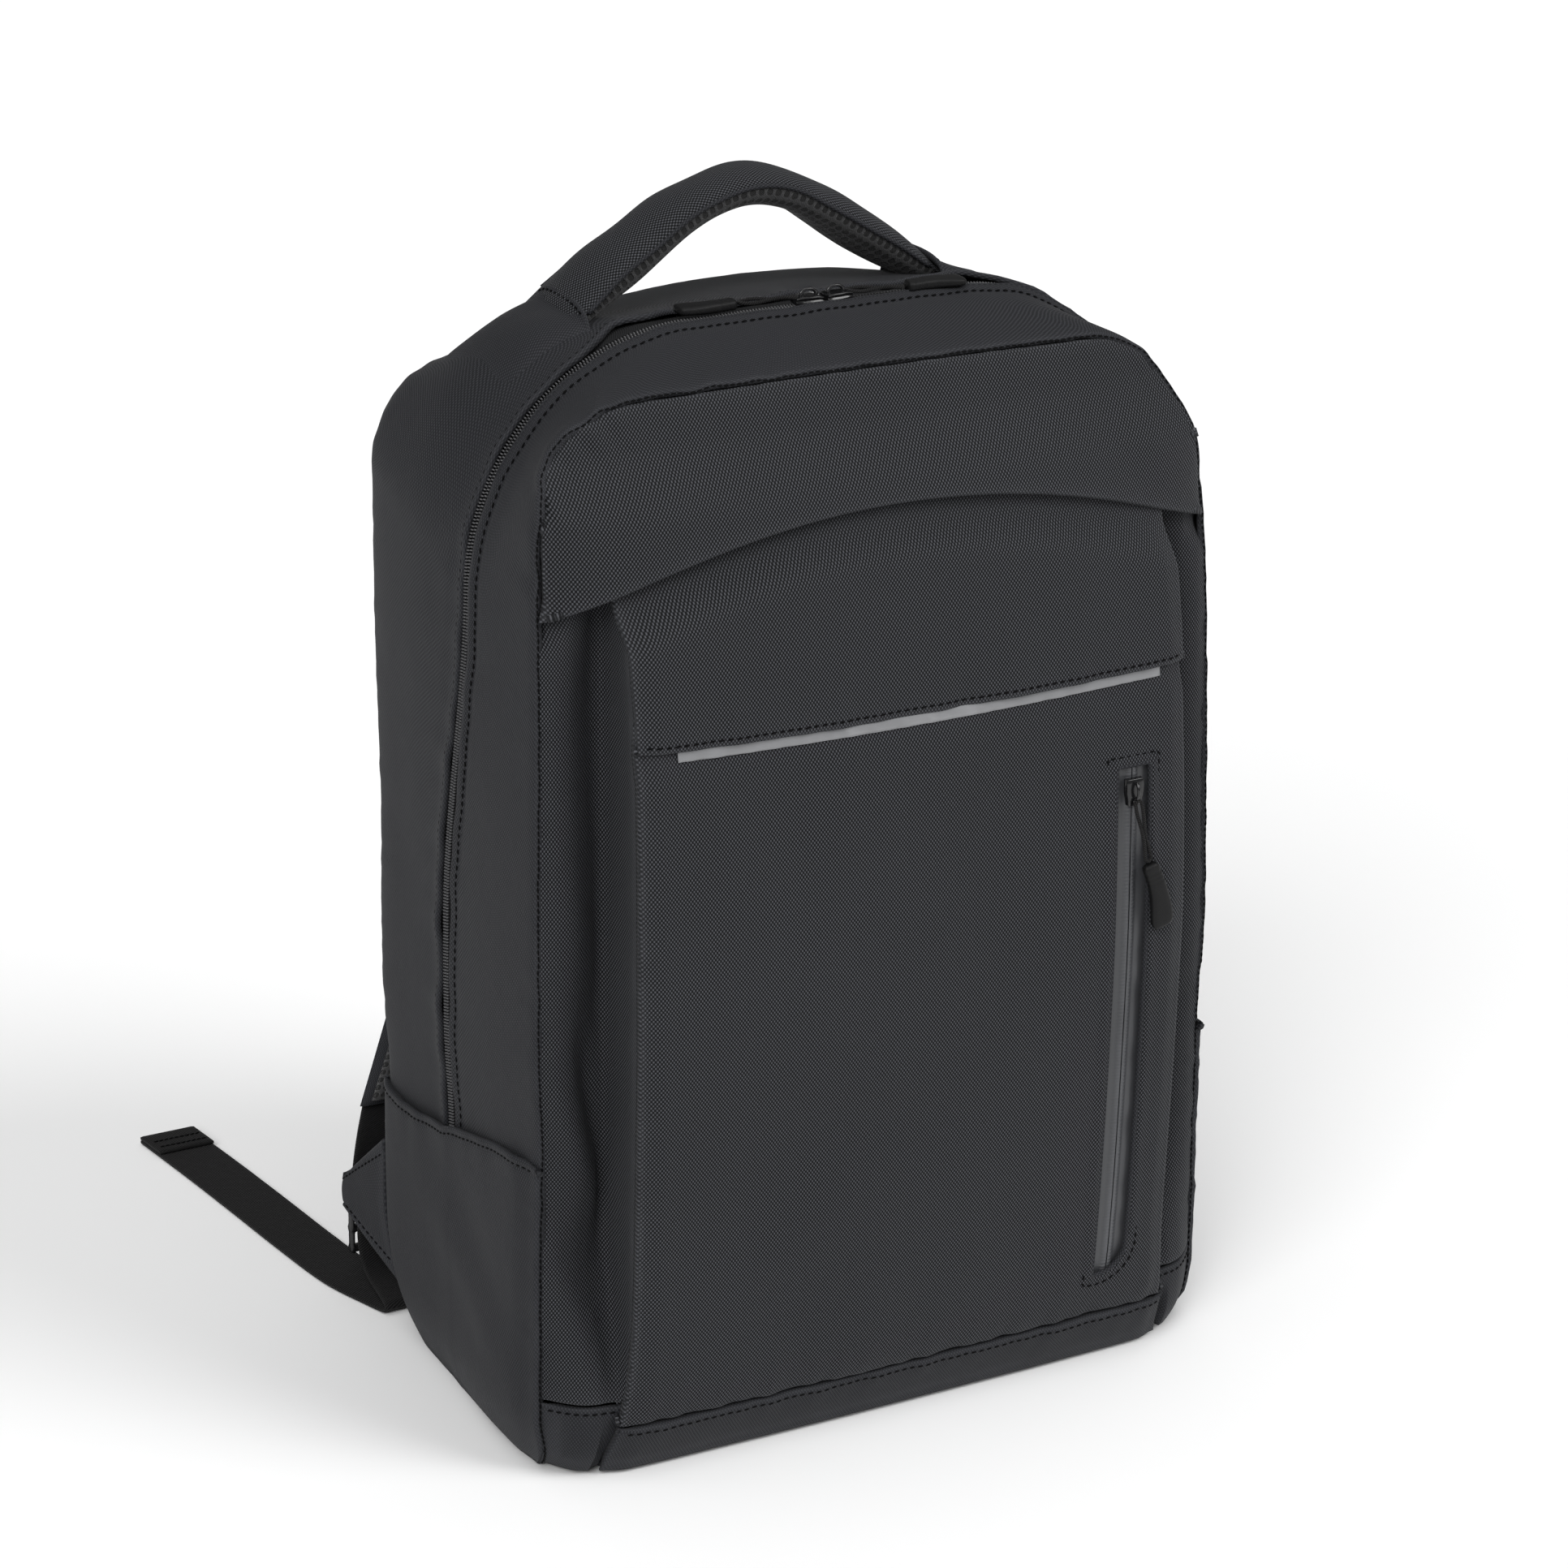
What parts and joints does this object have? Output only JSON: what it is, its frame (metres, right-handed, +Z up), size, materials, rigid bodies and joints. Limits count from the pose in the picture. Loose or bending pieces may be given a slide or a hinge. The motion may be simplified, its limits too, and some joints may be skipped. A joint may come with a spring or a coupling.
{
  "type": "laptop backpack",
  "caption": "Charcoal laptop backpack standing on its base, with a front zip pocket, a padded carry handle, side pockets and shoulder straps.",
  "frame": {"origin": "on the floor under the flat base, midway between the sides, below the main zip", "axes": "+Z up, the front pocket faces -Y, +X to the right seen from the front"},
  "size_m": [0.361, 0.3766, 0.4779],
  "materials": {
    "canvas": "coated charcoal polyester weave, matte with a faint sheen",
    "mesh": "black padded air mesh",
    "webbing": "ribbed black webbing",
    "zip_tape": "black woven zip tape",
    "coated_tape": "satin grey coated zip tape",
    "coil": "black nylon coil, satin",
    "slider": "black gloss enamel on metal",
    "rubber": "matte black rubber",
    "plastic": "glossy black moulded plastic",
    "reflective": "light grey reflective tape, satin"
  },
  "bodies": {
    "root": {"adjuster_left": "plastic", "adjuster_right": "plastic", "back_panel": "mesh", "base_panel": "canvas", "front_band": "canvas", "front_gusset": "canvas", "handle_cover": "canvas", "handle_mesh": "mesh", "link_webbing_left": "webbing", "link_webbing_right": "webbing", "main_pull_left_cord": "rubber", "main_pull_left_grip": "rubber", "main_pull_right_cord": "rubber", "main_pull_right_grip": "rubber", "main_slider_left": "slider", "main_slider_right": "slider", "main_zip_coil": "coil", "main_zip_tape_front": "zip_tape", "main_zip_tape_rear": "zip_tape", "pocket_flap": "canvas", "pocket_panel": "canvas", "pocket_pull_cord": "rubber", "pocket_pull_grip": "rubber", "pocket_slider": "slider", "pocket_zip_tape_left": "coated_tape", "pocket_zip_tape_right": "coated_tape", "rear_gusset": "canvas", "reflective_strip": "reflective", "shoulder_strap_left": "canvas", "shoulder_strap_right": "canvas", "side_band_left": "canvas", "side_band_right": "canvas", "side_panel_left": "canvas", "side_panel_right": "canvas", "side_pocket_left": "canvas", "side_pocket_right": "canvas", "strap_mesh_left": "mesh", "strap_mesh_right": "mesh", "tail_webbing_left": "webbing", "tail_webbing_right": "webbing", "wing_left": "canvas", "wing_right": "canvas", "yoke_panel": "canvas"}
  },
  "joints": []
}
